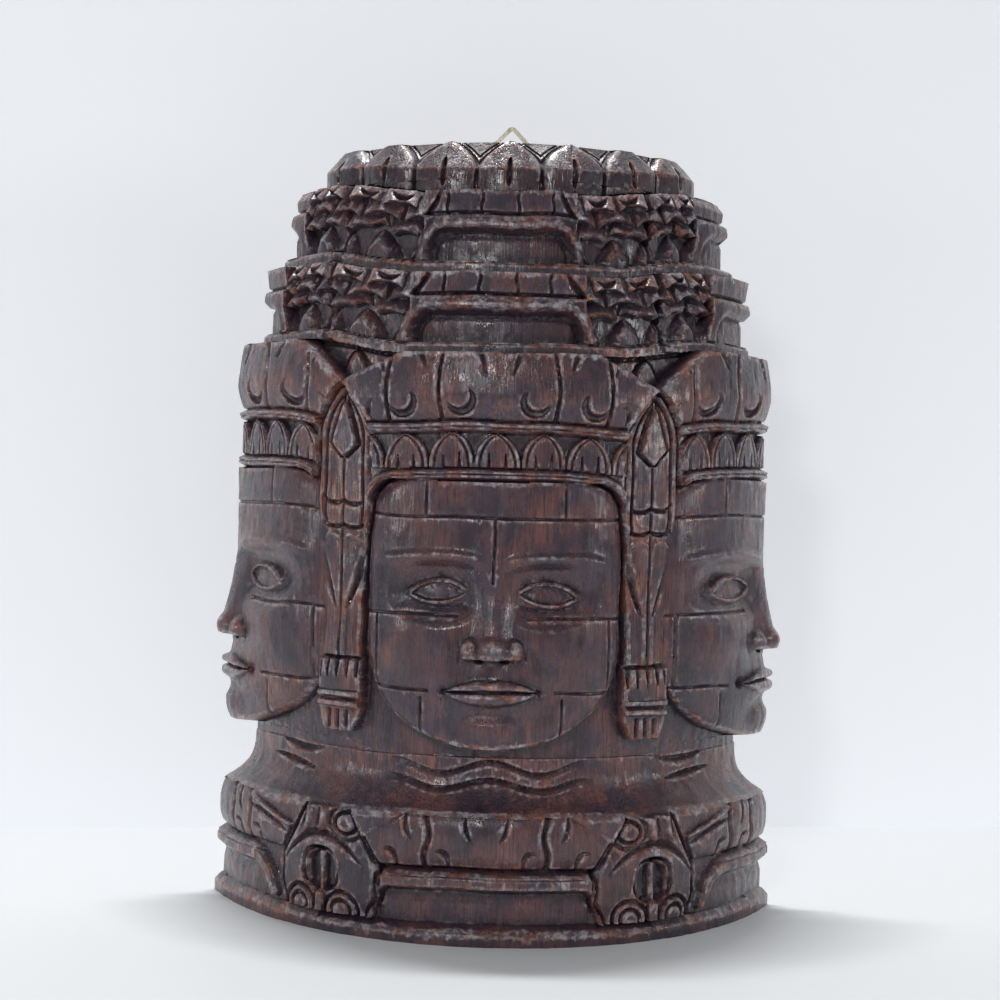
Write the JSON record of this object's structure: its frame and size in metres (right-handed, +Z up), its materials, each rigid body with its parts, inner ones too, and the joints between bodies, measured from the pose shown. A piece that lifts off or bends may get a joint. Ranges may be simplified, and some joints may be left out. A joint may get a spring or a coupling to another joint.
{
  "type": "carved wood wall plaque",
  "caption": "Half-round dark carved wood plaque of a tiered temple tower with calm faces, lotus petals and leaf corners, flat behind and below, with a metal hanging loop.",
  "frame": {"origin": "a point on the flat underside, on the middle plane, 40 mm in front of the flat back", "axes": "+Z up the tower, the carved front faces -Y, the flat back faces +Y, +X is to the right as seen from the front"},
  "size_m": [0.2926, 0.0995, 0.3993],
  "materials": {
    "stained_wood": "dark purple-brown stain, patchy gloss varnish, worn red-brown on raised edges",
    "pale_steel": "bright plated, slightly dull",
    "screw_steel": "plated"
  },
  "bodies": {
    "root": {"carved_plaque": "stained_wood", "hanger_plate": "pale_steel", "hanger_screw_left": "screw_steel", "hanger_screw_right": "screw_steel"}
  },
  "joints": []
}
